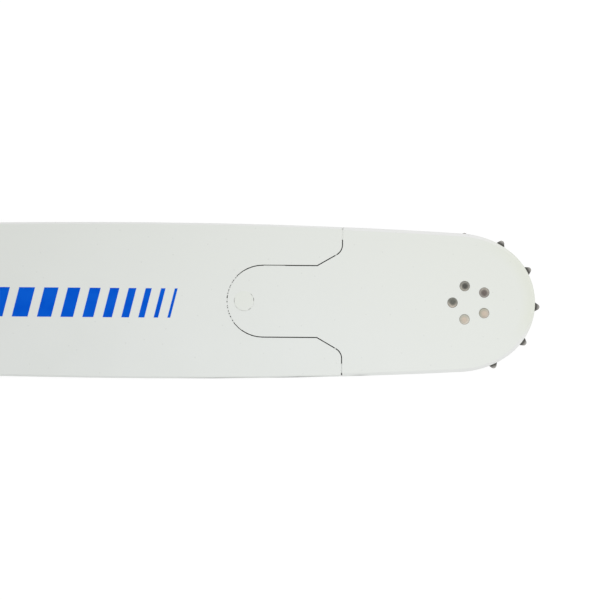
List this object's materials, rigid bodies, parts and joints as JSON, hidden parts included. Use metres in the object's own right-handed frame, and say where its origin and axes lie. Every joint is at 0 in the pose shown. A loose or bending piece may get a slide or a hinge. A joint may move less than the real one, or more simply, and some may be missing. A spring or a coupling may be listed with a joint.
{
  "type": "chainsaw guide bar",
  "caption": "Long flat guide bar with a grooved rail all round, a slotted tail that bolts to the saw and a riveted, replaceable nose holding a toothed sprocket that turns the chain.",
  "frame": {"origin": "middle of the stud slot, on the underside of the bar", "axes": "+X along the bar towards the nose, +Y across the bar, +Z through its thickness, up as it lies"},
  "size_m": [0.6021, 0.067, 0.0048],
  "materials": {
    "bar_paint": "off-white enamel, satin",
    "sprocket_steel": "hardened steel, dark, slightly oiled",
    "rivet_steel": "bare steel, dished flush ends",
    "bearing_steel": "ground bearing steel"
  },
  "bodies": {
    "bar": {"bar_body": "bar_paint", "nose_plate_top": "bar_paint", "nose_plate_bottom": "bar_paint", "bearing_race": "bearing_steel", "nose_rivets": "rivet_steel", "tongue_rivet": "bar_paint"},
    "sprocket": {"nose_sprocket": "sprocket_steel"},
    "roller_set": {"roller_01": "bearing_steel", "roller_02": "bearing_steel", "roller_03": "bearing_steel", "roller_04": "bearing_steel", "roller_05": "bearing_steel", "roller_06": "bearing_steel", "roller_07": "bearing_steel", "roller_08": "bearing_steel", "roller_09": "bearing_steel", "roller_10": "bearing_steel", "roller_11": "bearing_steel", "roller_12": "bearing_steel", "roller_13": "bearing_steel", "roller_14": "bearing_steel", "roller_15": "bearing_steel", "roller_16": "bearing_steel", "roller_17": "bearing_steel"}
  },
  "joints": [
    {"name": "sprocket_spin", "type": "hinge", "parent": "bar", "child": "sprocket", "pos_m": [0.523, 0, 0.0024], "axis": [0, 0, 1], "continuous": true},
    {"name": "roller_orbit", "type": "hinge", "parent": "bar", "child": "roller_set", "pos_m": [0.523, 0, 0.0024], "axis": [0, 0, 1], "continuous": true}
  ],
  "couplings": [
    {"joint": "roller_orbit", "follows": "sprocket_spin", "ratio": 0.58759}
  ]
}
